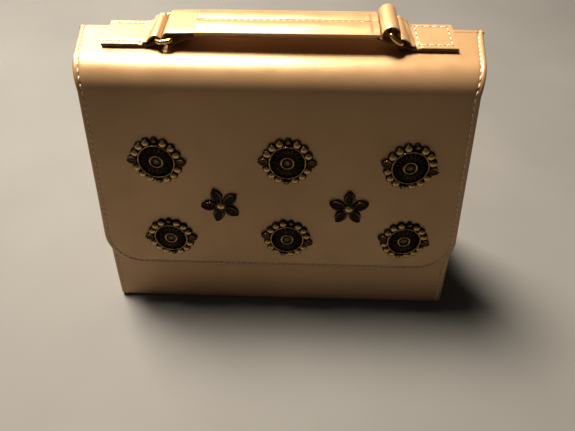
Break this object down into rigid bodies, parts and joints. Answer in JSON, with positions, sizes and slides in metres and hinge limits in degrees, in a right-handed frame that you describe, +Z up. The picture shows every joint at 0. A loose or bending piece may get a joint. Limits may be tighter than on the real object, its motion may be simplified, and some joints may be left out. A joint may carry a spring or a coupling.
{
  "type": "travel jewelry case",
  "caption": "Leather jewelry case with sides that narrow upwards, a fold-over flap with brass rosettes and flowers, and a padded handle on wire rings over a lined, divided room.",
  "frame": {"origin": "middle of the case's footprint, on the surface it stands on", "axes": "+X along the case's width to the right, +Y from the front to the back, +Z up"},
  "size_m": [0.225, 0.08, 0.1826],
  "materials": {
    "leather": "smooth, metallic champagne with a rose tint, satin",
    "lining": "matte weave",
    "velvet": "velvet",
    "board": "matte",
    "old_brass": "dark antique, worn bright on the raised parts",
    "gold": "polished",
    "steel": "plain",
    "foam": "soft"
  },
  "bodies": {
    "case": {"front_panel": "leather", "back_panel": "leather", "bottom_panel": "leather", "gusset_left": "leather", "gusset_right": "leather", "board_front": "board", "board_back": "board", "board_bottom": "board", "board_left": "board", "board_right": "board", "magnet_case_left": "steel", "magnet_case_right": "steel", "lining": "lining", "divider": "lining", "ring_roll_1": "velvet", "ring_roll_2": "velvet", "ring_roll_3": "velvet", "necklace_panel": "velvet", "necklace_peg_1": "gold", "necklace_peg_2": "gold", "necklace_peg_3": "gold", "necklace_peg_4": "gold", "elastic_pocket": "lining"},
    "flap_top": {"flap_top_leather": "leather", "flap_top_board": "board", "flap_top_lining": "lining", "tab_left": "leather", "tab_right": "leather"},
    "flap_front": {"flap_front_leather": "leather", "flap_front_board": "board", "flap_front_lining": "lining", "magnet_flap_left": "steel", "magnet_flap_right": "steel", "rosette_top_left": "old_brass", "rosette_top_middle": "old_brass", "rosette_top_right": "old_brass", "rosette_bottom_left": "old_brass", "rosette_bottom_middle": "old_brass", "rosette_bottom_right": "old_brass", "flower_left": "old_brass", "flower_right": "old_brass", "nut_rosette_top_left": "steel", "nut_rosette_top_middle": "steel", "nut_rosette_top_right": "steel", "nut_rosette_bottom_left": "steel", "nut_rosette_bottom_middle": "steel", "nut_rosette_bottom_right": "steel", "nut_flower_left": "steel", "nut_flower_right": "steel"},
    "left_ring": {"ring_left": "gold"},
    "right_ring": {"ring_right": "gold"},
    "handle": {"handle_cover": "leather", "handle_core": "foam", "handle_loop_left": "leather", "handle_loop_right": "leather"}
  },
  "joints": [
    {"name": "flap_top_hinge", "type": "hinge", "parent": "case", "child": "flap_top", "pos_m": [0, 0.02269, 0.1649], "axis": [-1, 0, 0], "range_deg": [0, 110]},
    {"name": "flap_front_fold", "type": "hinge", "parent": "flap_top", "child": "flap_front", "pos_m": [0, -0.01302, 0.16378], "axis": [-1, 0, 0], "range_deg": [0, 75]},
    {"name": "handle_lift", "type": "slide", "parent": "flap_top", "child": "handle", "axis": [0, -0.0698, 0.9976], "range_m": [0, 0.003]},
    {"name": "ring_left_swing", "type": "hinge", "parent": "flap_top", "child": "left_ring", "pos_m": [-0.06, 0.01088, 0.17319], "axis": [0, -0.9976, -0.0698], "range_deg": [0, 20]},
    {"name": "ring_right_swing", "type": "hinge", "parent": "flap_top", "child": "right_ring", "pos_m": [0.06, 0.01088, 0.17319], "axis": [0, 0.9976, 0.0698], "range_deg": [0, 20]}
  ],
  "couplings": [
    {"joint": "ring_left_swing", "follows": "handle_lift", "rad_per_m": 116.3},
    {"joint": "ring_right_swing", "follows": "handle_lift", "rad_per_m": 116.3}
  ]
}
